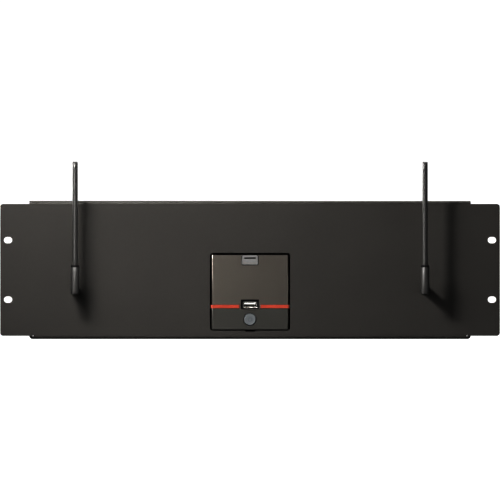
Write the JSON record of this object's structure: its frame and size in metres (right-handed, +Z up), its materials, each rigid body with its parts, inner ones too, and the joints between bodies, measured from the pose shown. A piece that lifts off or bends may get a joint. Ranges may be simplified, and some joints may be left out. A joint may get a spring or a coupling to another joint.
{
  "type": "rack-mounted wireless receiver",
  "caption": "Three-unit rack shelf whose front panel holds a small wireless receiver in a cut-out, with two swivelling whip antennas on coaxial jacks.",
  "frame": {"origin": "centre of the four rack slots, on the rear plane of the ears that bears on the rack's rails", "axes": "+X across the panel to the viewer's right, +Y into the rack, +Z up; the front faces -Y"},
  "size_m": [0.48, 0.1811, 0.1701],
  "materials": {
    "panel_paint": "fine-textured satin black powder coat",
    "zinc_steel": "zinc plated",
    "black_steel": "black oxide",
    "housing_plastic": "fine-textured black moulding",
    "fascia_metal": "satin metallic bronze-grey",
    "fascia_dark": "satin dark grey",
    "badge_metal": "brushed and clear anodised",
    "red_light_guide": "translucent red, lit from behind",
    "black_foam": "closed-cell foam",
    "black_plastic": "moulded black",
    "bright_nickel": "bright nickel plate",
    "white_plastic": "moulded white",
    "gold_contact": "gold flash",
    "gold_plate": "gold plated",
    "button_plastic": "satin blue-grey",
    "circuit_board": "green solder mask",
    "led_resin": "clear resin",
    "sink_aluminium": "anodised",
    "tin_can": "tin plated",
    "antenna_plastic": "satin black moulding",
    "black_rubber": "moulded rubber",
    "brass_wire": "drawn"
  },
  "bodies": {
    "chassis": {"rack_shelf": "panel_paint", "receiver_bracket": "panel_paint", "clinch_nuts": "zinc_steel", "bracket_screws": "black_steel", "base_screws": "black_steel", "base_shell": "housing_plastic", "top_cover": "housing_plastic", "rear_panel": "housing_plastic", "rear_panel_screws": "black_steel", "upper_fascia": "fascia_metal", "lower_fascia": "fascia_dark", "badge": "badge_metal", "light_strip_left": "red_light_guide", "light_strip_right": "red_light_guide", "foam_seal": "black_foam", "usb_bezel": "black_plastic", "usb_shell": "bright_nickel", "usb_tongue": "white_plastic", "usb_contacts": "gold_contact", "power_switch": "black_plastic", "front_board": "circuit_board", "board_link": "black_plastic", "strip_leds": "led_resin", "main_board": "circuit_board", "board_screws": "zinc_steel", "processor": "black_plastic", "heat_sink": "sink_aluminium", "wifi_module": "tin_can", "memory_chips": "black_plastic", "capacitors": "sink_aluminium", "ethernet_socket": "tin_can", "ethernet_contacts": "gold_contact", "video_socket": "tin_can", "video_tongue": "black_plastic", "dc_inlet": "black_plastic", "dc_pin": "bright_nickel", "audio_socket": "black_plastic", "reset_switch": "black_plastic", "antenna_socket_left": "gold_plate", "antenna_socket_right": "gold_plate", "antenna_socket_nuts": "zinc_steel", "jack_washers": "black_steel", "jack_nuts": "black_steel", "coupling_nuts": "black_steel", "panel_jack_left": "gold_plate", "panel_jack_right": "gold_plate"},
    "power_key": {"power_button": "button_plastic"},
    "reset_key": {"reset_button": "button_plastic"},
    "left_swivel": {"swivel_left": "antenna_plastic"},
    "left_antenna": {"hinge_pin_left": "zinc_steel", "antenna_sleeve_left": "antenna_plastic", "sleeve_ring_left": "black_rubber", "antenna_whip_left": "antenna_plastic", "antenna_core_left": "brass_wire"},
    "right_swivel": {"swivel_right": "antenna_plastic"},
    "right_antenna": {"hinge_pin_right": "zinc_steel", "antenna_sleeve_right": "antenna_plastic", "sleeve_ring_right": "black_rubber", "antenna_whip_right": "antenna_plastic", "antenna_core_right": "brass_wire"}
  },
  "joints": [
    {"name": "power_press", "type": "slide", "parent": "chassis", "child": "power_key", "axis": [0, 1, 0], "range_m": [0, 0.0007], "stiffness_N_per_m": 1600, "springref_m": -0.0003},
    {"name": "reset_press", "type": "slide", "parent": "chassis", "child": "reset_key", "axis": [0, -1, 0], "range_m": [0, 0.0005], "stiffness_N_per_m": 1200, "springref_m": -0.0003},
    {"name": "left_turn", "type": "hinge", "parent": "chassis", "child": "left_swivel", "pos_m": [-0.168, -0.018, -0.019], "axis": [0, 1, 0], "range_deg": [-180, 180]},
    {"name": "left_tilt", "type": "hinge", "parent": "left_swivel", "child": "left_antenna", "pos_m": [-0.168, -0.027, -0.019], "axis": [1, 0, 0], "range_deg": [0, 90]},
    {"name": "right_turn", "type": "hinge", "parent": "chassis", "child": "right_swivel", "pos_m": [0.168, -0.018, -0.019], "axis": [0, 1, 0], "range_deg": [-180, 180]},
    {"name": "right_tilt", "type": "hinge", "parent": "right_swivel", "child": "right_antenna", "pos_m": [0.168, -0.027, -0.019], "axis": [1, 0, 0], "range_deg": [0, 90]}
  ]
}
